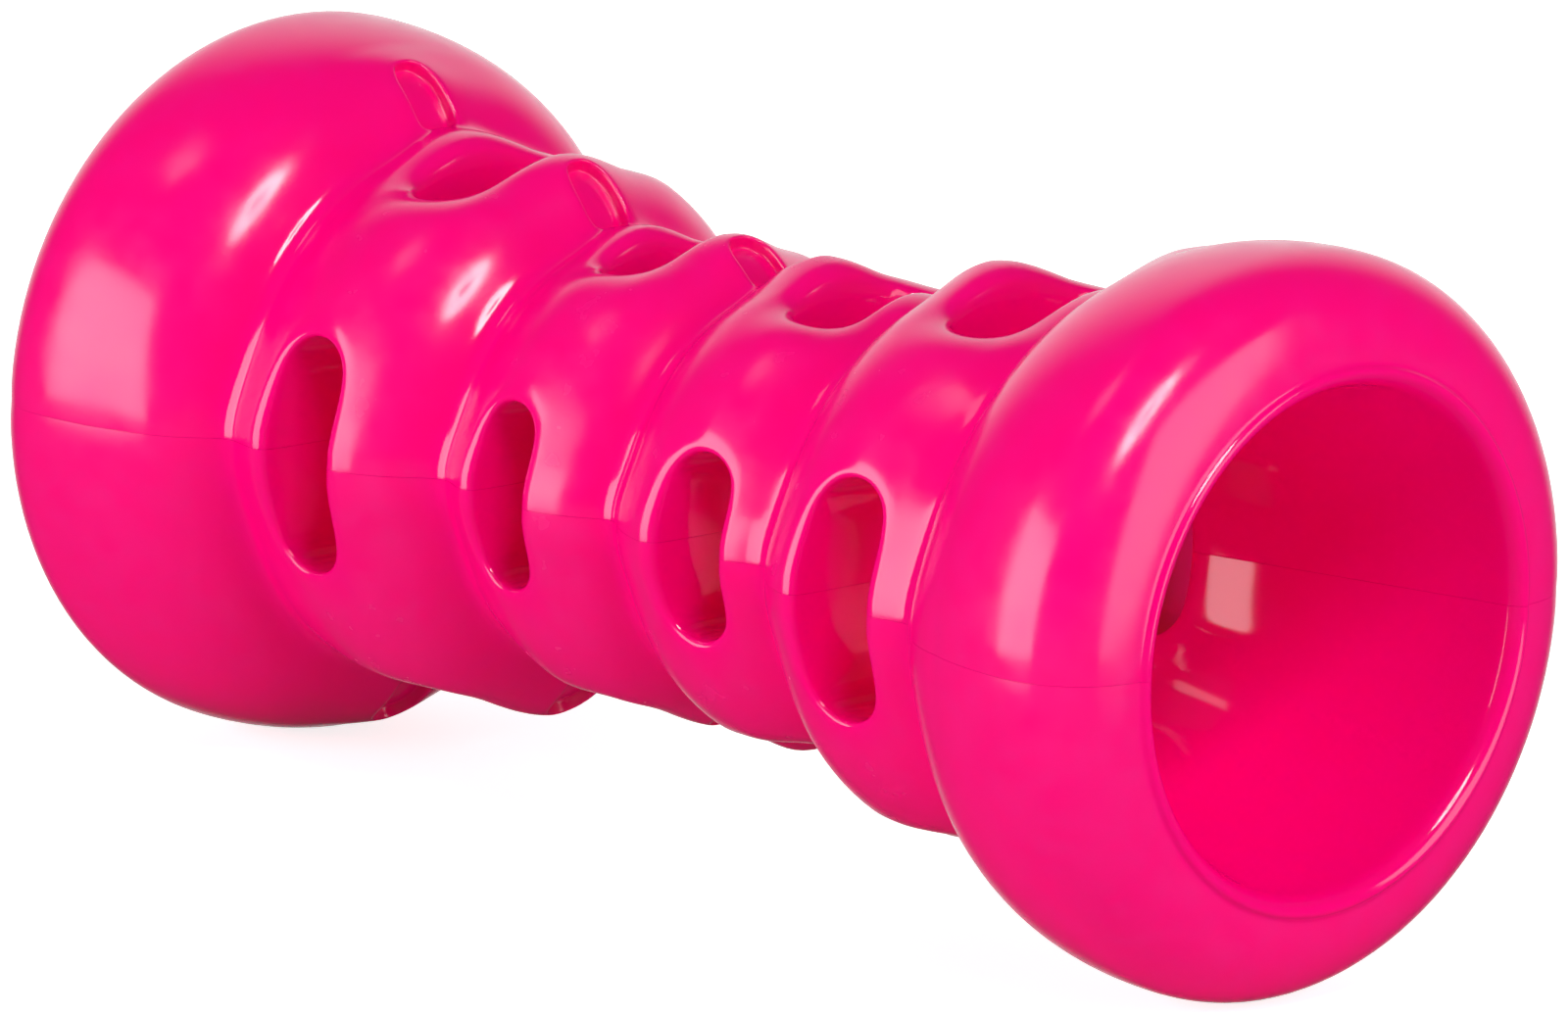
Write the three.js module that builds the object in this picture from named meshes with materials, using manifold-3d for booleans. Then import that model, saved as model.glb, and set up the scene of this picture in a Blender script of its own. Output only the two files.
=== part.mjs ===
import * as THREE from 'three';
import { mergeVertices } from 'three/addons/utils/BufferGeometryUtils.js';
import Module from 'manifold-3d';

// Bone-shaped chew toy: a hollow rubber bone of revolution with an open bulb at each end,
// four slotted ridges between them, and a seam at mid height where its two halves are bonded.
// Millimetres, +X along the bone, +Z up, standing on Z = 0.

// Lengths along the bone, from the middle crease out to the rim of one end
const innerRidgeLength = 19.6;
const outerRidgeLength = 21;
const bulbLength = 24.4;
const crestShift = 1.4;

// Outside radii of the ridges and the bulbs
const innerCrestRadius = 20.6;
const outerCrestRadius = 24.2;
const bulbRadius = 31;

// Depth of each crease below the crest beside it
const middleCreaseDepth = 3.6;
const ridgeCreaseDepth = 2.6;
const neckCreaseDepth = 1.3;

// The bulb: a hollow flare out of the neck crease, a long crown, a round shoulder and a flat rim
const neckFlareLength = 2.8;
const neckFlareRise = 0.7;
const bulbCrownLength = 12.5;
const shoulderRadius = 8;
const rimLand = 1.6;

// The treat bore: its radius in the middle, and how far it stays narrow before it flares to the mouth
const throatRadius = 11;
const throatLength = 38;

// The slots through each ridge: width along the bone, and length across it
const innerSlotWidth = 8.2;
const innerSlotLength = 15.2;
const outerSlotWidth = 10;
const outerSlotLength = 19.4;

// The shallow pockets in the flanks that face the middle, on the top line and the bottom line
const pocketWidth = 4.6;
const pocketLength = 6.4;
const pocketDepth = 1;

// The bond line between the two halves
const bondGap = 0.2;

// Facets round the bone, with a flat one on the top, bottom, front and back lines
const facetCount = 28;
const flankSteps = 4;
const bulbSteps = 7;
const shoulderSteps = 6;
const boreSteps = 8;
const slotEndSteps = 6;

// Colour and gloss of the rubber
const pink = '#ff0080';
const gloss = 0.25;

// Vertices closer than this are one vertex
const weldDistance = 1e-4;

// Places along the bone
const ridgeCreaseX = innerRidgeLength;
const neckCreaseX = innerRidgeLength + outerRidgeLength;
const halfLength = neckCreaseX + bulbLength;
const equatorX = halfLength - shoulderRadius;
const innerCrestX = innerRidgeLength / 2 + crestShift;
const outerCrestX = ridgeCreaseX + outerRidgeLength / 2 + crestShift;

// Radii that follow from the sizes above
const middleCreaseRadius = innerCrestRadius - middleCreaseDepth;
const ridgeCreaseRadius = innerCrestRadius - ridgeCreaseDepth;
const neckCreaseRadius = outerCrestRadius - neckCreaseDepth;
const rimRadius = bulbRadius - shoulderRadius;
const mouthRadius = rimRadius - rimLand;
const axisHeight = bulbRadius * Math.cos(Math.PI / facetCount);

const wasm = await Module();
wasm.setup();

// A closed three.js geometry as a solid that can be joined and cut
function solidOf(geometry) {
  const bare = geometry.clone();
  bare.deleteAttribute('normal');
  bare.deleteAttribute('uv');
  const merged = mergeVertices(bare, weldDistance);
  return new wasm.Manifold(new wasm.Mesh({
    numProp: 3,
    vertProperties: new Float32Array(merged.attributes.position.array),
    triVerts: new Uint32Array(merged.index.array),
  }));
}

function geometryOf(solid) {
  const mesh = solid.getMesh();
  const geometry = new THREE.BufferGeometry();
  geometry.setAttribute('position', new THREE.BufferAttribute(mesh.vertProperties, 3));
  geometry.setIndex(new THREE.BufferAttribute(mesh.triVerts, 1));
  geometry.computeVertexNormals();
  return geometry;
}

// One flank of a ridge, a parabola that is level at the crest. Profile points are (radius, x).
function flank(crease, crest) {
  const level = new THREE.Vector2(crest.x, (crease.y + crest.y) / 2);
  return new THREE.QuadraticBezierCurve(crease, level, crest);
}

// Outside of one half of the bone, from the middle crease to the outer edge of the rim
const middleCrease = new THREE.Vector2(middleCreaseRadius, 0);
const innerCrest = new THREE.Vector2(innerCrestRadius, innerCrestX);
const ridgeCrease = new THREE.Vector2(ridgeCreaseRadius, ridgeCreaseX);
const outerCrest = new THREE.Vector2(outerCrestRadius, outerCrestX);
const neckCrease = new THREE.Vector2(neckCreaseRadius, neckCreaseX);
const equator = new THREE.Vector2(bulbRadius, equatorX);

const innerRidgeRise = flank(middleCrease, innerCrest);
const innerRidgeFall = flank(ridgeCrease, innerCrest);
const outerRidgeRise = flank(ridgeCrease, outerCrest);
const outerRidgeFall = flank(neckCrease, outerCrest);
const bulbBack = new THREE.CubicBezierCurve(
  neckCrease,
  new THREE.Vector2(neckCreaseRadius + neckFlareRise, neckCreaseX + neckFlareLength),
  new THREE.Vector2(bulbRadius, equatorX - bulbCrownLength),
  equator,
);
const shoulder = new THREE.EllipseCurve(
  rimRadius, equatorX, shoulderRadius, shoulderRadius, 0, Math.PI / 2,
);

function outsideHalf() {
  return [
    ...innerRidgeRise.getPoints(flankSteps),
    ...innerRidgeFall.getPoints(flankSteps).reverse().slice(1),
    ...outerRidgeRise.getPoints(flankSteps).slice(1),
    ...outerRidgeFall.getPoints(flankSteps).reverse().slice(1),
    ...bulbBack.getPoints(bulbSteps).slice(1),
    ...shoulder.getPoints(shoulderSteps).slice(1),
  ];
}

// Bore of one half, from the middle to the mouth
function boreHalf() {
  const bore = new THREE.QuadraticBezierCurve(
    new THREE.Vector2(throatRadius, 0),
    new THREE.Vector2(throatRadius, throatLength),
    new THREE.Vector2(mouthRadius, halfLength),
  );
  return bore.getPoints(boreSteps);
}

function mirrored(points) {
  return points.map((point) => new THREE.Vector2(point.x, -point.y));
}

// The whole hollow bone, turned from a closed profile, with its axis along X
function turnedBone() {
  const outside = outsideHalf();
  const bore = boreHalf();
  const profile = [
    ...mirrored(outside).reverse(),
    ...outside.slice(1),
    ...[...bore].reverse(),
    ...mirrored(bore).slice(1),
  ];
  profile.push(profile[0].clone());
  const bone = new THREE.LatheGeometry(profile, facetCount, Math.PI / facetCount);
  return solidOf(bone.rotateZ(-Math.PI / 2));
}

// A straight cutter with round ends that goes right through the bone along Z, at x
function slotCutter(x, width, length) {
  const end = (length - width) / 2;
  const outline = new THREE.Shape();
  outline.absarc(0, end, width / 2, 0, Math.PI);
  outline.absarc(0, -end, width / 2, Math.PI, 2 * Math.PI);
  const reach = 2 * bulbRadius;
  const cutter = new THREE.ExtrudeGeometry(outline, {
    depth: 2 * reach,
    bevelEnabled: false,
    curveSegments: slotEndSteps,
  });
  return cutter.translate(x, 0, -reach);
}

// Slots through the crest of each ridge, in opposite pairs: top and bottom, front and back
function withSlots(bone) {
  const slots = [
    [innerCrestX, innerSlotWidth, innerSlotLength],
    [outerCrestX, outerSlotWidth, outerSlotLength],
  ];
  let cut = bone;
  for (const [x, width, length] of slots) {
    for (const side of [-1, 1]) {
      const upright = slotCutter(side * x, width, length);
      const level = upright.clone().rotateX(Math.PI / 2);
      cut = cut.subtract(solidOf(upright)).subtract(solidOf(level));
    }
  }
  return cut;
}

// A pocket's cutter lies along a flank that faces +X. foot is the flank's point at the crease,
// and the outline runs up the flank from there to a round end.
function pocketCutter(foot, slope) {
  const half = pocketWidth / 2;
  const straight = pocketLength - half;
  const outline = new THREE.Shape();
  outline.moveTo(0, -half);
  outline.lineTo(0, half);
  outline.lineTo(-straight, half);
  outline.absarc(-straight, 0, half, Math.PI / 2, 1.5 * Math.PI);
  outline.closePath();
  const cutter = new THREE.ExtrudeGeometry(outline, {
    depth: bulbRadius,
    bevelEnabled: false,
    curveSegments: slotEndSteps,
  });
  cutter.translate(0, 0, -pocketDepth);
  cutter.rotateY(slope);
  return cutter.translate(-foot.y, 0, foot.x);
}

// Pockets in every flank that faces the middle: at both ends, on the top line and the bottom line
function withPockets(bone) {
  let cut = bone;
  for (const curve of [bulbBack, outerRidgeRise, innerRidgeRise]) {
    const foot = curve.getPoint(0);
    const head = curve.getPointAt(pocketLength / curve.getLength());
    const slope = Math.atan2(head.x - foot.x, head.y - foot.y);
    const top = pocketCutter(foot, slope);
    const bottom = top.clone().rotateX(Math.PI);
    for (const pocket of [top, bottom]) {
      const mirror = pocket.clone().rotateZ(Math.PI);
      cut = cut.subtract(solidOf(pocket)).subtract(solidOf(mirror));
    }
  }
  return cut;
}

// The half of the bone on one side of the seam, +1 above it and -1 below it
function halfShell(bone, side) {
  const span = 4 * halfLength;
  const block = new THREE.BoxGeometry(span, span, span);
  block.translate(0, 0, side * (span + bondGap) / 2);
  return bone.intersect(solidOf(block));
}

function shellMesh(name, solid) {
  const rubber = new THREE.MeshStandardMaterial({ color: pink, roughness: gloss, metalness: 0 });
  const mesh = new THREE.Mesh(geometryOf(solid), rubber);
  mesh.name = name;
  return mesh;
}

const bone = withPockets(withSlots(turnedBone()));
const toy = new THREE.Group();
toy.add(shellMesh('upper_half_shell', halfShell(bone, 1)));
toy.add(shellMesh('lower_half_shell', halfShell(bone, -1)));
toy.position.z = axisHeight;

export default toy;
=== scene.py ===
# A hollow rubber bone for dogs: two bonded half shells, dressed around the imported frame.
# Metres, +X along the bone, +Z up, lying on Z = 0.
import math
from dataclasses import dataclass

import bmesh
import bpy
from mathutils import Matrix, Vector


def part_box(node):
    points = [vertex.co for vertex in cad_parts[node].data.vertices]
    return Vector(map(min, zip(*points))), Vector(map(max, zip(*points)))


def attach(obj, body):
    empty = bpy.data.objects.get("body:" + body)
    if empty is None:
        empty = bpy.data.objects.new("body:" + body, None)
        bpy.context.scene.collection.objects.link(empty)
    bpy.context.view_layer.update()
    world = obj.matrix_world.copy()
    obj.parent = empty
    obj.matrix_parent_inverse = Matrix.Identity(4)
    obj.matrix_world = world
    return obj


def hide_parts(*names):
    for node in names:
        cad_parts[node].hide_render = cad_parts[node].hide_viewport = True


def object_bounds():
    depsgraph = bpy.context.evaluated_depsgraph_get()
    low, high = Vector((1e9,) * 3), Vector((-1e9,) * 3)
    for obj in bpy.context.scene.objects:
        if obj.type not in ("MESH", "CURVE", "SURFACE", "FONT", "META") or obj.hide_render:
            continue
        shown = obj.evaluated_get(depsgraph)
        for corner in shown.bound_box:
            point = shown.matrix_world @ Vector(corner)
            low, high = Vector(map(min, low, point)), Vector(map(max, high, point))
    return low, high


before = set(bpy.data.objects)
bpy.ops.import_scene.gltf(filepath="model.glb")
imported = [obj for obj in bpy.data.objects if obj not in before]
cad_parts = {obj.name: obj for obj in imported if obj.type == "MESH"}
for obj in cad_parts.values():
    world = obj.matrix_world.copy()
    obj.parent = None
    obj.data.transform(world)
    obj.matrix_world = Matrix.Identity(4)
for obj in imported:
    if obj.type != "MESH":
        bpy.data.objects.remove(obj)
cad_low, cad_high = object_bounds()
upper_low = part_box("upper_half_shell")[0]
lower_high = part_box("lower_half_shell")[1]

MM = 0.001

# The bone's length, the height of its axis and seam, and its bulbs fill the frame
HALF_LENGTH = cad_high.x
SEAM_HEIGHT = (upper_low.z + lower_high.z) / 2
BULB_RADIUS = SEAM_HEIGHT

# Places along the bone, from the middle crease out to the neck of one end
INNER_CREST_X = 11.2 * MM
RIDGE_CREASE_X = 19.1 * MM
OUTER_CREST_X = 31.5 * MM
NECK_CREASE_X = 40.3 * MM

# Outside radii of the ridges, and the depth of each crease below the crest beside it
INNER_CREST_RADIUS = 20.6 * MM
OUTER_CREST_RADIUS = 24.2 * MM
MIDDLE_CREASE_DEPTH = 4.1 * MM
RIDGE_CREASE_DEPTH = 2.9 * MM
NECK_CREASE_DEPTH = 1.8 * MM

# How late the flanks of a ridge fall: with a higher power a flank stays level longer, then drops
INNER_FLANK_POWER = 2.8
OUTER_FLANK_POWER = 1.45

# The bulb: a hollow flare out of the neck crease, a long crown, a round shoulder and a narrow rim
NECK_FLARE_LENGTH = 1.2 * MM
NECK_FLARE_RISE = 1.0 * MM
BULB_CROWN_LENGTH = 13.6 * MM
SHOULDER_RADIUS = 8.0 * MM
RIM_LAND = 1.6 * MM

# The mouth's lip stands proud of a groove at the end of the shoulder, and rounds into the bore
LIP_PROUD = 0.6 * MM
LIP_GROOVE = 0.35 * MM
LIP_EDGE = 0.65 * MM
LIP_ROUND = 2.6 * MM

# The treat bore: its radius in the middle, where it starts to widen in a cone, and how softly
THROAT_RADIUS = 11.0 * MM
CONE_START = 27.0 * MM
CONE_EASE = 6.0 * MM

# The slots go in straight until they near the ends of their neighbours, then narrow to the bore
SLOT_CLEARANCE = 2.6 * MM
BORE_SLOT_TURN = math.radians(36)

# The shallow pockets on the top line and the bottom line, and how narrow their round heads end
POCKET_WIDTH = 4.6 * MM
POCKET_DEPTH = 1.0 * MM
POCKET_EDGE = 0.22 * MM
POCKET_DRAFT = 0.15 * MM
POCKET_HEAD = 0.62

# The lips of the slots stand proud in the middle, and those on the top and bottom lines are dished
SLOT_LIP_RISE = 1.15 * MM
SLOT_LIP_SHARPNESS = 10
SLOT_LIP_FADE_LENGTH = 8.0 * MM
DISH_DEPTH = 1.6 * MM
DISH_REACH = 5.0 * MM

# The seam: half the open line, and how the skin dips towards it
SEAM_GAP = 0.01 * MM
SEAM_DIP = 0.09 * MM
SEAM_DIP_REACH = 2.2 * MM

# How far handling has dulled the rubber: most on the crests, and not at all in the creases and bore
CREST_WEAR = 1.0
BULB_WEAR = 0.75
LIP_WEAR = 0.2
SLOT_WEAR = 0.1
UNWORN = 0.0

# How fast the wear grows up a ridge's flank, and up the bulb's back from a share of its curve on
FLANK_WEAR_RATE = 2
BULB_WEAR_RATE = 2.5
BULB_WEAR_START = 0.15

# Columns of the cage round the bone, the subdivision of its faces, and the faces across a slot's rim
COLUMNS = 32
QUARTER = COLUMNS // 4
SMOOTHING = 2
RIM_SEGMENTS = 2

# A slot's edge has sixteen vertices: round 4 by 4 faces of the skin, and round 2 by 6 of the bore
SLOT_ROWS = 5
SLOT_HALF_COLUMNS = 2
BORE_SLOT_ROWS = 3
BORE_HALF_COLUMNS = 3
SLOT_END_STEPS = 6

# How far up a ridge's flank its rows lie, as shares of the way between the crease and the slot
INNER_FLANK_SHARES = (0.22, 0.4, 0.59, 0.78)
OUTER_FLANK_SHARES = (0.3, 0.58)
POCKET_FLANK_ROWS = 4

# Where the rows of the bulb's back lie along its curve, with the neck left open for a round
BULB_SHARES = (0.0, 0.28, 0.4, 0.5, 0.6, 0.7, 0.8, 0.9, 1.0)
POCKET_BULB_ROWS = 5

# Rows of the shoulder and the lip, and where those of the flare lie from the middle to the lip
SHOULDER_STEPS = 6
LIP_STEPS = 3
FLARE_SHARES = (0.92, 0.85, 0.77, 0.68)

# A subdivided ring lies inside its cage by this factor, so the cage is swelled by it
SWELL = 3 / (2 + math.cos(2 * math.pi / COLUMNS))

# Vertices closer than this are one vertex where the halves of the cage meet, and at the seam's cut
MERGE_DISTANCE = 1e-6
CUT_DISTANCE = 1e-7

# Places along the bone and radii that follow from the sizes above
EQUATOR_X = HALF_LENGTH - SHOULDER_RADIUS
MIDDLE_CREASE_RADIUS = INNER_CREST_RADIUS - MIDDLE_CREASE_DEPTH
RIDGE_CREASE_RADIUS = INNER_CREST_RADIUS - RIDGE_CREASE_DEPTH
NECK_CREASE_RADIUS = OUTER_CREST_RADIUS - NECK_CREASE_DEPTH
RIM_RADIUS = BULB_RADIUS - SHOULDER_RADIUS
MOUTH_RADIUS = RIM_RADIUS - RIM_LAND

# The rubber: its colour with the mottle's two tints, its gloss where fresh and where worn, its grain
RUBBER_IOR = 1.5
NEON_PINK = (1.0, 0.0, 0.18, 1.0)
SOFT_PINK = (0.97, 0.0, 0.21, 1.0)
MOTTLE_SCALE = 420.0
MOTTLE_DETAIL = 3.0
FRESH_ROUGHNESS = 0.07
WORN_ROUGHNESS = 0.38
GRAIN_STRENGTH = 0.006
GRAIN_HEIGHT = 0.4 * MM

# Plain colours of the lamps and the room
WHITE = (1.0, 1.0, 1.0, 1.0)
BLACK = (0.0, 0.0, 0.0, 1.0)

# The floor: half its width, the shade of its paper, and the glow that lifts it to white in the picture
FLOOR_REACH = 4.0
PAPER_SHADE = (0.95, 0.95, 0.95, 1.0)
PAPER_ROUGHNESS = 0.9
PAPER_GLOW = 0.8

# The white sweep behind the bone: its middle, the cosines of the angles from there between which it
# fades, and how bright it and the rest of the room are
SWEEP_AZIMUTH = -135
SWEEP_ELEVATION = 12
SWEEP_EDGE = 0.68
SWEEP_CORE = 0.98
SWEEP_LIGHT = 1.0
ROOM_LIGHT = 0.05

# The lamps stand this far from the bone, and the oval one has this many sides
LAMP_DISTANCE = 2.0
LAMP_SIDES = 48

# The photograph's camera: where it stands round the bone, its lens and its slight roll
CAMERA_AZIMUTH = 44.9
CAMERA_ELEVATION = 13.0
CAMERA_ROLL = 2.3
CAMERA_DISTANCE = 1.181
SENSOR_WIDTH = 36.0
LENS = 328.5
AIM_RIGHT = 1.25 * MM
AIM_DOWN = 1.33 * MM


@dataclass
class Ridge:
    """One ring ridge: its crest, the creases on its inner and outer side, and its slots."""
    name: str
    crest_x: float
    crest_radius: float
    inner_x: float
    inner_radius: float
    outer_x: float
    outer_radius: float
    slot_width: float
    slot_length: float
    rim_round: float
    bore_round: float

    def radius(self, x):
        """Outside radius at x: level at the crest, with the steeper flank on the inner side."""
        crease_x, crease_radius, power = self.inner_x, self.inner_radius, INNER_FLANK_POWER
        if x > self.crest_x:
            crease_x, crease_radius, power = self.outer_x, self.outer_radius, OUTER_FLANK_POWER
        share = (x - self.crest_x) / (crease_x - self.crest_x)
        return self.crest_radius - (self.crest_radius - crease_radius) * share ** power


INNER_RIDGE = Ridge(
    name="inner",
    crest_x=INNER_CREST_X,
    crest_radius=INNER_CREST_RADIUS,
    inner_x=0.0,
    inner_radius=MIDDLE_CREASE_RADIUS,
    outer_x=RIDGE_CREASE_X,
    outer_radius=RIDGE_CREASE_RADIUS,
    slot_width=6.2 * MM,
    slot_length=15.6 * MM,
    rim_round=1.6 * MM,
    bore_round=0.6 * MM,
)
OUTER_RIDGE = Ridge(
    name="outer",
    crest_x=OUTER_CREST_X,
    crest_radius=OUTER_CREST_RADIUS,
    inner_x=RIDGE_CREASE_X,
    inner_radius=RIDGE_CREASE_RADIUS,
    outer_x=NECK_CREASE_X,
    outer_radius=NECK_CREASE_RADIUS,
    slot_width=7.4 * MM,
    slot_length=20.0 * MM,
    rim_round=1.9 * MM,
    bore_round=0.7 * MM,
)


def ridge_at(x):
    """The ridge of one half of the bone that x belongs to, or lies beyond."""
    return INNER_RIDGE if x < RIDGE_CREASE_X else OUTER_RIDGE


def bezier(points, t):
    """A point on the Bezier curve of any number of control points."""
    while len(points) > 1:
        points = [a.lerp(b, t) for a, b in zip(points, points[1:])]
    return points[0]


def cone_reach(x):
    """How far x lies past the start of the cone, eased to nothing before it."""
    past = x - CONE_START
    return (past + math.hypot(past, CONE_EASE)) / 2


def bore_radius(x):
    """Radius of the bore at x: a straight throat that opens into a cone towards the mouth."""
    widening = cone_reach(x) / cone_reach(HALF_LENGTH)
    return THROAT_RADIUS + (MOUTH_RADIUS - THROAT_RADIUS) * widening


@dataclass
class Row:
    """One ring of the cage: its place, its radius, and how far handling has dulled it there."""
    x: float
    radius: float
    wear: float
    name: str = ""


def ridge_rows(ridge):
    """Rows of one ridge, from its inner crease up to its outer one, which the next part adds."""
    low = ridge.crest_x - ridge.slot_width / 2
    high = ridge.crest_x + ridge.slot_width / 2
    rows = [Row(ridge.inner_x, ridge.inner_radius, UNWORN, f"{ridge.name}_flank0")]
    for index, share in enumerate(INNER_FLANK_SHARES, 1):
        x = ridge.inner_x + share * (low - ridge.inner_x)
        wear = min(CREST_WEAR, FLANK_WEAR_RATE * share)
        rows.append(Row(x, ridge.radius(x), wear, f"{ridge.name}_flank{index}"))
    for step in range(SLOT_ROWS):
        x = low + ridge.slot_width * step / (SLOT_ROWS - 1)
        rows.append(Row(x, ridge.radius(x), CREST_WEAR, f"{ridge.name}_slot{step}"))
    for share in OUTER_FLANK_SHARES:
        x = high + share * (ridge.outer_x - high)
        rows.append(Row(x, ridge.radius(x), CREST_WEAR * (1 - share)))
    return rows


def bulb_rows():
    """Rows of the bulb, from the neck crease over the crown and shoulder to the groove of the lip."""
    back = [
        Vector((NECK_CREASE_X, NECK_CREASE_RADIUS)),
        Vector((NECK_CREASE_X + NECK_FLARE_LENGTH, NECK_CREASE_RADIUS + NECK_FLARE_RISE)),
        Vector((EQUATOR_X - BULB_CROWN_LENGTH, BULB_RADIUS)),
        Vector((EQUATOR_X, BULB_RADIUS)),
    ]
    rows = []
    for index, t in enumerate(BULB_SHARES):
        point = bezier(back, t)
        wear = min(BULB_WEAR, max(UNWORN, BULB_WEAR_RATE * (t - BULB_WEAR_START)))
        rows.append(Row(point.x, point.y, wear, f"bulb{index}"))
    for step in range(1, SHOULDER_STEPS + 1):
        turn = math.pi / 2 * step / SHOULDER_STEPS
        x = EQUATOR_X + (SHOULDER_RADIUS - LIP_PROUD) * math.sin(turn)
        rows.append(Row(x, RIM_RADIUS + SHOULDER_RADIUS * math.cos(turn), BULB_WEAR))
    return rows


def lip_rows():
    """The narrow lip: a firm edge that stands proud, and a large round down into the bore."""
    crest = RIM_RADIUS - LIP_EDGE
    foot = bore_radius(HALF_LENGTH - LIP_ROUND)
    rows = [Row(HALF_LENGTH - LIP_PROUD, RIM_RADIUS - LIP_GROOVE, LIP_WEAR)]
    for step in range(LIP_STEPS + 1):
        turn = math.pi / 2 * step / LIP_STEPS
        x = HALF_LENGTH - LIP_ROUND * (1 - math.cos(turn))
        rows.append(Row(x, crest - (crest - foot) * math.sin(turn), LIP_WEAR))
    return rows


def bore_rows():
    """Rows of the bore, from the lip down the flare and along the throat to the middle."""
    places = [(HALF_LENGTH * share, "") for share in FLARE_SHARES]
    for ridge in (OUTER_RIDGE, INNER_RIDGE):
        for step in reversed(range(BORE_SLOT_ROWS)):
            along = ridge.slot_width * (step / (BORE_SLOT_ROWS - 1) - 0.5)
            places.append((ridge.crest_x + along, f"{ridge.name}_bore{step}"))
        places.append((ridge.inner_x, ""))
    return [Row(x, bore_radius(x), UNWORN, name) for x, name in places]


def half_profile():
    """The way round one half of the bone's wall: outside, lip and bore."""
    outside = ridge_rows(INNER_RIDGE) + ridge_rows(OUTER_RIDGE) + bulb_rows()
    return outside + lip_rows() + bore_rows()


def axis_point(x):
    """The point of the bone's axis at x."""
    return Vector((x, 0.0, SEAM_HEIGHT))


BONE_CENTRE = axis_point(0.0)


def column_directions(column):
    """Outward and sideways directions at a column, counted from the top line."""
    turn = 2 * math.pi * column / COLUMNS
    outward = Vector((0.0, -math.sin(turn), math.cos(turn)))
    sideways = Vector((0.0, -math.cos(turn), -math.sin(turn)))
    return outward, sideways


def turn_half_bone(mesh, rows):
    """Spin the profile into one half of the bone and return its vertices by row and column."""
    row_of = mesh.verts.layers.int.new("row")
    wear_of = mesh.verts.layers.float.new("wear")
    profile = []
    for index, row in enumerate(rows):
        vert = mesh.verts.new(axis_point(row.x) + Vector((0.0, 0.0, row.radius * SWELL)))
        vert[row_of] = index
        vert[wear_of] = row.wear
        profile.append(vert)
    edges = [mesh.edges.new(pair) for pair in zip(profile, profile[1:])]
    bmesh.ops.spin(
        mesh,
        geom=profile + edges,
        cent=BONE_CENTRE,
        axis=Vector((1.0, 0.0, 0.0)),
        angle=2 * math.pi,
        steps=COLUMNS,
        use_merge=True,
    )
    grid = {}
    for vert in mesh.verts:
        out = vert.co - axis_point(vert.co.x)
        turn = math.atan2(-out.y, out.z)
        grid[vert[row_of], round(turn / (2 * math.pi) * COLUMNS) % COLUMNS] = vert
    return grid


def slot_outline(ridge):
    """Sixteen points round a slot with round ends, as (along the bone, across it)."""
    round_radius = ridge.slot_width / 2
    straight = (ridge.slot_length - ridge.slot_width) / 2
    turns = [math.pi * (step / SLOT_END_STEPS - 0.5) for step in range(SLOT_END_STEPS + 1)]
    right = [(round_radius * math.sin(t), straight + round_radius * math.cos(t)) for t in turns]
    left = [(along, -across) for along, across in reversed(right)]
    return [(-round_radius, 0.0)] + right + [(round_radius, 0.0)] + left


def block_ring(rows, half_columns):
    """Grid places round a block of faces, from the middle of its first row."""
    first, last = rows[0], rows[-1]
    ring = [(first, column) for column in range(0, half_columns + 1)]
    ring += [(row, half_columns) for row in rows[1:-1]]
    ring += [(last, column) for column in range(half_columns, -half_columns - 1, -1)]
    ring += [(row, -half_columns) for row in reversed(rows[1:-1])]
    ring += [(first, column) for column in range(-half_columns, 0)]
    return ring


def set_on_skin(vert, x, across, radius, column):
    """Move a vertex to x and to a distance across the column's line, on the skin of that radius."""
    outward, sideways = column_directions(column)
    height = math.sqrt((radius * SWELL) ** 2 - across ** 2)
    vert.co = axis_point(x) + sideways * across + outward * height


def open_ring(mesh, grid, column, rows, half_columns):
    """Delete the middle of a block of the grid and return the ring of vertices round the hole."""
    inside = [
        grid.pop((row, (column + step) % COLUMNS))
        for row in rows[1:-1]
        for step in range(1 - half_columns, half_columns)
    ]
    bmesh.ops.delete(mesh, geom=inside, context="VERTS")
    return [grid[row, (column + step) % COLUMNS] for row, step in block_ring(rows, half_columns)]


def ring_edges(mesh, ring):
    """The edges between the neighbours of a closed ring of vertices."""
    return [mesh.edges.get(pair) for pair in zip(ring, ring[1:] + ring[:1])]


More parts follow.
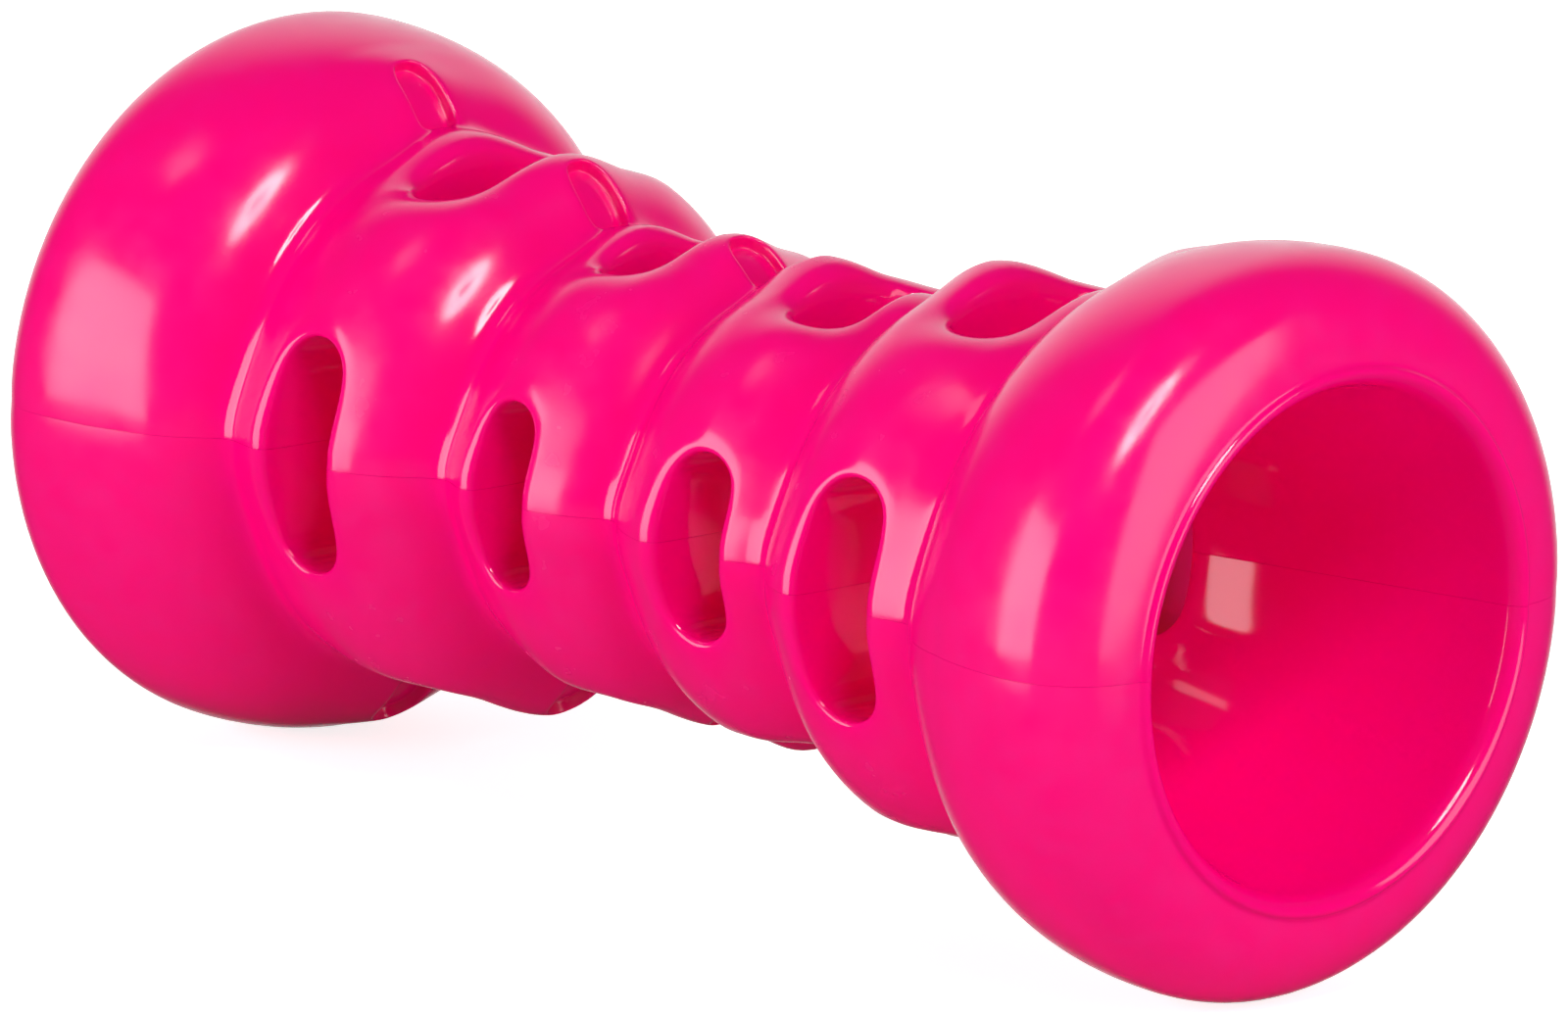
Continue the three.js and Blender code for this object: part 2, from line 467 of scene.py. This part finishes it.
def cut_slot(mesh, grid, ridge, column, rim_rows, foot_rows):
    """Open one slot from the skin to the bore, and return the edges of its two rims."""
    outward = column_directions(column)[0]
    outline = slot_outline(ridge)
    wear_of = mesh.verts.layers.float["wear"]
    rim = open_ring(mesh, grid, column, rim_rows, SLOT_HALF_COLUMNS)
    for vert, (along, across) in zip(rim, outline):
        x = ridge.crest_x + along
        set_on_skin(vert, x, across, ridge.radius(x), column)
        vert[wear_of] = SLOT_WEAR
    rim_edges = ring_edges(mesh, rim)
    wall = bmesh.ops.extrude_edge_only(mesh, edges=rim_edges)["geom"]
    waist = {item for item in wall if isinstance(item, bmesh.types.BMVert)}
    waist_edges = [
        item for item in wall if isinstance(item, bmesh.types.BMEdge) and waist.issuperset(item.verts)
    ]
    half_length = ridge.slot_length / 2
    waist_radius = math.hypot(half_length, half_length + SLOT_CLEARANCE)
    for vert in waist:
        out = vert.co - axis_point(vert.co.x)
        height = out.dot(outward)
        across_squared = out.length_squared - height ** 2
        vert.co += outward * (math.sqrt(waist_radius ** 2 - across_squared) - height)

    foot = open_ring(mesh, grid, column, foot_rows, BORE_HALF_COLUMNS)
    narrowing = bore_radius(ridge.crest_x) * math.sin(BORE_SLOT_TURN) / half_length
    for vert, (along, across) in zip(foot, outline):
        x = ridge.crest_x + along
        set_on_skin(vert, x, across * narrowing, bore_radius(x), column)
    foot_edges = ring_edges(mesh, foot)
    bmesh.ops.bridge_loops(mesh, edges=waist_edges + foot_edges)
    return rim_edges, foot_edges


def press_pocket(mesh, grid, rows, column):
    """Sink a shallow flat pocket into a flank, with a straight foot and a round head."""
    for row in rows:
        half = POCKET_WIDTH / 2
        if row == rows[-1]:
            half *= POCKET_HEAD
        for side in (-1, 1):
            vert = grid[row, (column + side) % COLUMNS]
            skin = (vert.co - axis_point(vert.co.x)).length / SWELL
            set_on_skin(vert, vert.co.x, half * side, skin, column)
    block = [
        [grid[row, (column + side) % COLUMNS] for side in (-1, 0, 1)] for row in rows
    ]
    faces = []
    for low, high in zip(block, block[1:]):
        for side in (0, 1):
            corners = {low[side], low[side + 1], high[side], high[side + 1]}
            faces += [face for face in low[side].link_faces if corners == set(face.verts)]
    for thickness, depth in ((POCKET_EDGE, 0.0), (POCKET_DRAFT, -POCKET_DEPTH), (POCKET_EDGE, 0.0)):
        bmesh.ops.inset_region(
            mesh, faces=faces, thickness=thickness, depth=depth, use_even_offset=True
        )


def bone_cage():
    """The whole bone as a coarse cage: half of it turned, pocketed and slotted, then mirrored."""
    mesh = bmesh.new()
    rows = half_profile()
    place = {row.name: index for index, row in enumerate(rows) if row.name}
    grid = turn_half_bone(mesh, rows)
    bmesh.ops.recalc_face_normals(mesh, faces=mesh.faces)
    ridges = (INNER_RIDGE, OUTER_RIDGE)
    pocket_rows = [
        [place[f"{ridge.name}_flank{step}"] for step in range(POCKET_FLANK_ROWS)] for ridge in ridges
    ]
    pocket_rows.append([place[f"bulb{step}"] for step in range(POCKET_BULB_ROWS)])
    for column in (0, 2 * QUARTER):
        for flank in pocket_rows:
            press_pocket(mesh, grid, flank, column)
    rounds = []
    for ridge in ridges:
        rim_rows = [place[f"{ridge.name}_slot{step}"] for step in range(SLOT_ROWS)]
        foot_rows = [place[f"{ridge.name}_bore{step}"] for step in range(BORE_SLOT_ROWS)]
        for quarter in range(4):
            rim, foot = cut_slot(mesh, grid, ridge, quarter * QUARTER, rim_rows, foot_rows)
            rounds.append((rim, ridge.rim_round))
            rounds.append((foot, ridge.bore_round))
    bmesh.ops.recalc_face_normals(mesh, faces=mesh.faces)
    for edges, size in rounds:
        bmesh.ops.bevel(
            mesh,
            geom=edges,
            offset=size,
            offset_type="OFFSET",
            affect="EDGES",
            segments=RIM_SEGMENTS,
            profile=0.5,
            material=-1,
            clamp_overlap=True,
        )
    bmesh.ops.mirror(
        mesh,
        geom=mesh.verts[:] + mesh.edges[:] + mesh.faces[:],
        matrix=Matrix.Identity(4),
        merge_dist=MERGE_DISTANCE,
        axis="X",
    )
    bmesh.ops.recalc_face_normals(mesh, faces=mesh.faces)
    return mesh


def add_object(name, data):
    """A new object for the data, in the scene."""
    item = bpy.data.objects.new(name, data)
    bpy.context.scene.collection.objects.link(item)
    return item


def mesh_object(name, mesh):
    """A new object in the scene for a finished bmesh, which is freed."""
    data = bpy.data.meshes.new(name)
    mesh.to_mesh(data)
    mesh.free()
    return add_object(name, data)


def smoothed(mesh):
    """The mesh after subdivision, as a new bmesh."""
    cage = mesh_object("cage", mesh)
    subdivision = cage.modifiers.new("smooth", "SUBSURF")
    subdivision.levels = SMOOTHING
    subdivision.render_levels = SMOOTHING
    result = bmesh.new()
    result.from_object(cage, bpy.context.evaluated_depsgraph_get())
    data = cage.data
    bpy.data.objects.remove(cage)
    bpy.data.meshes.remove(data)
    return result


def skin_share(place):
    """How near a point lies to the outside: 1 on the skin, 0 in the bore."""
    x = abs(place.x)
    skin = ridge_at(x).radius(min(x, NECK_CREASE_X))
    bore = bore_radius(x)
    share = ((place - axis_point(place.x)).length - bore) / (skin - bore)
    return min(1.0, max(0.0, share))


def slot_distance(ridge, along, across):
    """Distance in the flat from the edge of a ridge's slot, 0 inside it."""
    straight = (ridge.slot_length - ridge.slot_width) / 2
    beyond = max(0.0, abs(across) - straight)
    return max(0.0, math.hypot(along, beyond) - ridge.slot_width / 2)


def shape_lips(mesh):
    """Swell the lips of the slots in the middle of all four sides, and dish those at top and bottom."""
    for vert in mesh.verts:
        x = abs(vert.co.x)
        fade = min(1.0, 1 - (x - NECK_CREASE_X) / SLOT_LIP_FADE_LENGTH)
        if fade <= 0:
            continue
        out = vert.co - axis_point(vert.co.x)
        turn = math.atan2(out.y, out.z)
        rise = SLOT_LIP_RISE * fade * math.cos(2 * turn) ** SLOT_LIP_SHARPNESS
        dish = 0.0
        if abs(out.z) > abs(out.y):
            ridge = ridge_at(x)
            away = slot_distance(ridge, x - ridge.crest_x, out.y)
            dish = DISH_DEPTH * max(0.0, 1 - away / DISH_REACH) ** 2
        share = skin_share(vert.co)
        vert.co += out.normalized() * (rise * share)
        vert.co.z -= math.copysign(dish * share, out.z)


def dip_to_seam(mesh):
    """Let the skin fall off a little towards the seam, as the edge of a mould half leaves it."""
    for vert in mesh.verts:
        away = abs(vert.co.z - SEAM_HEIGHT)
        if away < SEAM_DIP_REACH:
            dip = SEAM_DIP * (1 - away / SEAM_DIP_REACH) ** 2
            out = vert.co - axis_point(vert.co.x)
            vert.co -= out.normalized() * (dip * skin_share(vert.co))


def half_shell(bone, name, side):
    """Keep the bone on one side of the seam and close the cut, with flat faces and sharp edges."""
    mesh = bone.copy()
    bmesh.ops.bisect_plane(
        mesh,
        geom=mesh.verts[:] + mesh.edges[:] + mesh.faces[:],
        dist=CUT_DISTANCE,
        plane_co=Vector((0.0, 0.0, SEAM_HEIGHT + side * SEAM_GAP)),
        plane_no=Vector((0.0, 0.0, side)),
        clear_inner=True,
    )
    for face in mesh.faces:
        face.smooth = True
    cut_edges = [edge for edge in mesh.edges if edge.is_boundary]
    for edge in cut_edges:
        edge.smooth = False
    for face in bmesh.ops.edgeloop_fill(mesh, edges=cut_edges)["faces"]:
        face.smooth = False
    bmesh.ops.recalc_face_normals(mesh, faces=mesh.faces)
    return mesh_object(name, mesh)


def rubber_material():
    """Neon pink moulded rubber: glossy in the creases, dulled and mottled on the crests."""
    material = bpy.data.materials.new("pink_rubber")
    material.use_nodes = True
    nodes, links = material.node_tree.nodes, material.node_tree.links
    shader = nodes["Principled BSDF"]
    shader.inputs["IOR"].default_value = RUBBER_IOR
    place = nodes.new("ShaderNodeTexCoord")
    wear = nodes.new("ShaderNodeAttribute")
    wear.attribute_name = "wear"

    mottle = nodes.new("ShaderNodeTexNoise")
    mottle.inputs["Scale"].default_value = MOTTLE_SCALE
    mottle.inputs["Detail"].default_value = MOTTLE_DETAIL
    links.new(place.outputs["Object"], mottle.inputs["Vector"])

    tint = nodes.new("ShaderNodeMix")
    tint.data_type = "RGBA"
    tint.inputs["A"].default_value = NEON_PINK
    tint.inputs["B"].default_value = SOFT_PINK
    links.new(mottle.outputs["Fac"], tint.inputs["Factor"])
    links.new(tint.outputs["Result"], shader.inputs["Base Color"])

    dulled = nodes.new("ShaderNodeMath")
    dulled.operation = "MULTIPLY"
    links.new(wear.outputs["Fac"], dulled.inputs[0])
    links.new(mottle.outputs["Fac"], dulled.inputs[1])
    roughness = nodes.new("ShaderNodeMapRange")
    roughness.inputs["To Min"].default_value = FRESH_ROUGHNESS
    roughness.inputs["To Max"].default_value = WORN_ROUGHNESS
    links.new(dulled.outputs["Value"], roughness.inputs["Value"])
    links.new(roughness.outputs["Result"], shader.inputs["Roughness"])

    grain = nodes.new("ShaderNodeBump")
    grain.inputs["Strength"].default_value = GRAIN_STRENGTH
    grain.inputs["Distance"].default_value = GRAIN_HEIGHT
    links.new(dulled.outputs["Value"], grain.inputs["Height"])
    links.new(grain.outputs["Normal"], shader.inputs["Normal"])
    return material


def white_floor():
    """A plain white floor that keeps the soft shadow, and looks white where it is only lit."""
    mesh = bmesh.new()
    bmesh.ops.create_grid(mesh, x_segments=1, y_segments=1, size=FLOOR_REACH)
    floor = mesh_object("floor", mesh)
    material = bpy.data.materials.new("white_paper")
    material.use_nodes = True
    nodes, links = material.node_tree.nodes, material.node_tree.links
    paper = nodes["Principled BSDF"]
    paper.inputs["Base Color"].default_value = PAPER_SHADE
    paper.inputs["Roughness"].default_value = PAPER_ROUGHNESS
    paper.inputs["Specular IOR Level"].default_value = 0.0
    path = nodes.new("ShaderNodeLightPath")
    lift = nodes.new("ShaderNodeMath")
    lift.operation = "MULTIPLY"
    lift.inputs[1].default_value = PAPER_GLOW
    links.new(path.outputs["Is Camera Ray"], lift.inputs[0])
    paper.inputs["Emission Color"].default_value = WHITE
    links.new(lift.outputs["Value"], paper.inputs["Emission Strength"])
    floor.data.materials.append(material)
    floor.visible_glossy = False


def studio_direction(azimuth, elevation):
    """Unit vector towards a place in the studio; azimuth 0 is in front of the bone, 90 is at +X."""
    a, e = math.radians(azimuth), math.radians(elevation)
    return Vector((math.sin(a) * math.cos(e), -math.cos(a) * math.cos(e), math.sin(e)))


def facing_back(towards):
    """The turn of a lamp or camera that stands in a direction from the bone and looks back at it."""
    return (-towards).to_track_quat("-Z", "Y")


def studio_world():
    """White behind the bone, as a paper sweep is, and dim in front; plain white to the camera."""
    world = bpy.data.worlds.new("studio")
    world.use_nodes = True
    bpy.context.scene.world = world
    nodes, links = world.node_tree.nodes, world.node_tree.links
    background = nodes["Background"]
    background.inputs["Color"].default_value = WHITE
    place = nodes.new("ShaderNodeTexCoord")
    behind = nodes.new("ShaderNodeVectorMath")
    behind.operation = "DOT_PRODUCT"
    behind.inputs[1].default_value = studio_direction(SWEEP_AZIMUTH, SWEEP_ELEVATION)
    links.new(place.outputs["Generated"], behind.inputs[0])
    sweep = nodes.new("ShaderNodeMapRange")
    sweep.interpolation_type = "SMOOTHSTEP"
    sweep.inputs["From Min"].default_value = SWEEP_EDGE
    sweep.inputs["From Max"].default_value = SWEEP_CORE
    sweep.inputs["To Min"].default_value = ROOM_LIGHT
    sweep.inputs["To Max"].default_value = SWEEP_LIGHT
    links.new(behind.outputs["Value"], sweep.inputs["Value"])
    path = nodes.new("ShaderNodeLightPath")
    seen = nodes.new("ShaderNodeMath")
    seen.operation = "MAXIMUM"
    links.new(sweep.outputs["Result"], seen.inputs[0])
    links.new(path.outputs["Is Camera Ray"], seen.inputs[1])
    links.new(seen.outputs["Value"], background.inputs["Strength"])


def softbox(name, azimuth, elevation, width, height, power):
    """A rectangular lamp that faces the bone."""
    data = bpy.data.lights.new(name, "AREA")
    data.shape = "RECTANGLE"
    data.size = width
    data.size_y = height
    data.energy = power
    lamp = add_object(name, data)
    towards = studio_direction(azimuth, elevation)
    lamp.location = BONE_CENTRE + towards * LAMP_DISTANCE
    lamp.rotation_mode = "QUATERNION"
    lamp.rotation_quaternion = facing_back(towards)
    lamp.visible_camera = False


def ring_lamp(name, azimuth, elevation, radius, hole, squeeze, tilt, strength):
    """An oval lamp with a dark middle that faces the bone."""
    mesh = bmesh.new()
    bmesh.ops.create_circle(mesh, cap_ends=True, segments=LAMP_SIDES, radius=radius)
    disc = mesh.faces[:]
    bmesh.ops.inset_region(mesh, faces=disc, thickness=radius - hole, use_boundary=True)
    bmesh.ops.delete(mesh, geom=disc, context="FACES")
    towards = studio_direction(azimuth, elevation)
    stand = Matrix.Translation(BONE_CENTRE + towards * LAMP_DISTANCE)
    turn = facing_back(towards).to_matrix().to_4x4()
    oval = Matrix.Rotation(math.radians(tilt), 4, "Z") @ Matrix.Diagonal((squeeze, 1.0, 1.0, 1.0))
    mesh.transform(stand @ turn @ oval)
    lamp = mesh_object(name, mesh)
    material = bpy.data.materials.new(name)
    material.use_nodes = True
    glow = material.node_tree.nodes["Principled BSDF"]
    glow.inputs["Base Color"].default_value = BLACK
    glow.inputs["Emission Color"].default_value = WHITE
    glow.inputs["Emission Strength"].default_value = strength
    lamp.data.materials.append(material)
    lamp.visible_camera = False


def photo_camera():
    """The camera at the photograph's viewing angle."""
    data = bpy.data.cameras.new("camera")
    data.sensor_fit = "HORIZONTAL"
    data.sensor_width = SENSOR_WIDTH
    data.lens = LENS
    camera = add_object("camera", data)
    towards = studio_direction(CAMERA_AZIMUTH, CAMERA_ELEVATION)
    turn = facing_back(towards).to_matrix()
    turn = turn @ Matrix.Rotation(math.radians(CAMERA_ROLL), 3, "Z")
    aim = turn @ Vector((AIM_RIGHT, -AIM_DOWN, 0.0))
    stand = BONE_CENTRE + towards * CAMERA_DISTANCE + aim
    camera.matrix_world = Matrix.Translation(stand) @ turn.to_4x4()
    bpy.context.scene.camera = camera


bone = smoothed(bone_cage())
shape_lips(bone)
dip_to_seam(bone)
rubber = rubber_material()
for shell_name, node, side in (
    ("upper_shell", "upper_half_shell", 1),
    ("lower_shell", "lower_half_shell", -1),
):
    shell = half_shell(bone, shell_name, side)
    shell.data.materials.append(rubber)
    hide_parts(node)
    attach(shell, "root")
bone.free()

white_floor()
studio_world()
softbox("left_softbox", azimuth=-18, elevation=9, width=1.75, height=1.4, power=37)
softbox("right_softbox", azimuth=103, elevation=14, width=1.4, height=1.8, power=22.5)
ring_lamp(
    "ring_lamp",
    azimuth=64,
    elevation=51,
    radius=0.46,
    hole=0.16,
    squeeze=0.48,
    tilt=-45,
    strength=20,
)
softbox("small_window", azimuth=-42, elevation=60, width=0.36, height=0.36, power=0.7)
photo_camera()
bpy.context.scene.view_settings.view_transform = "Standard"
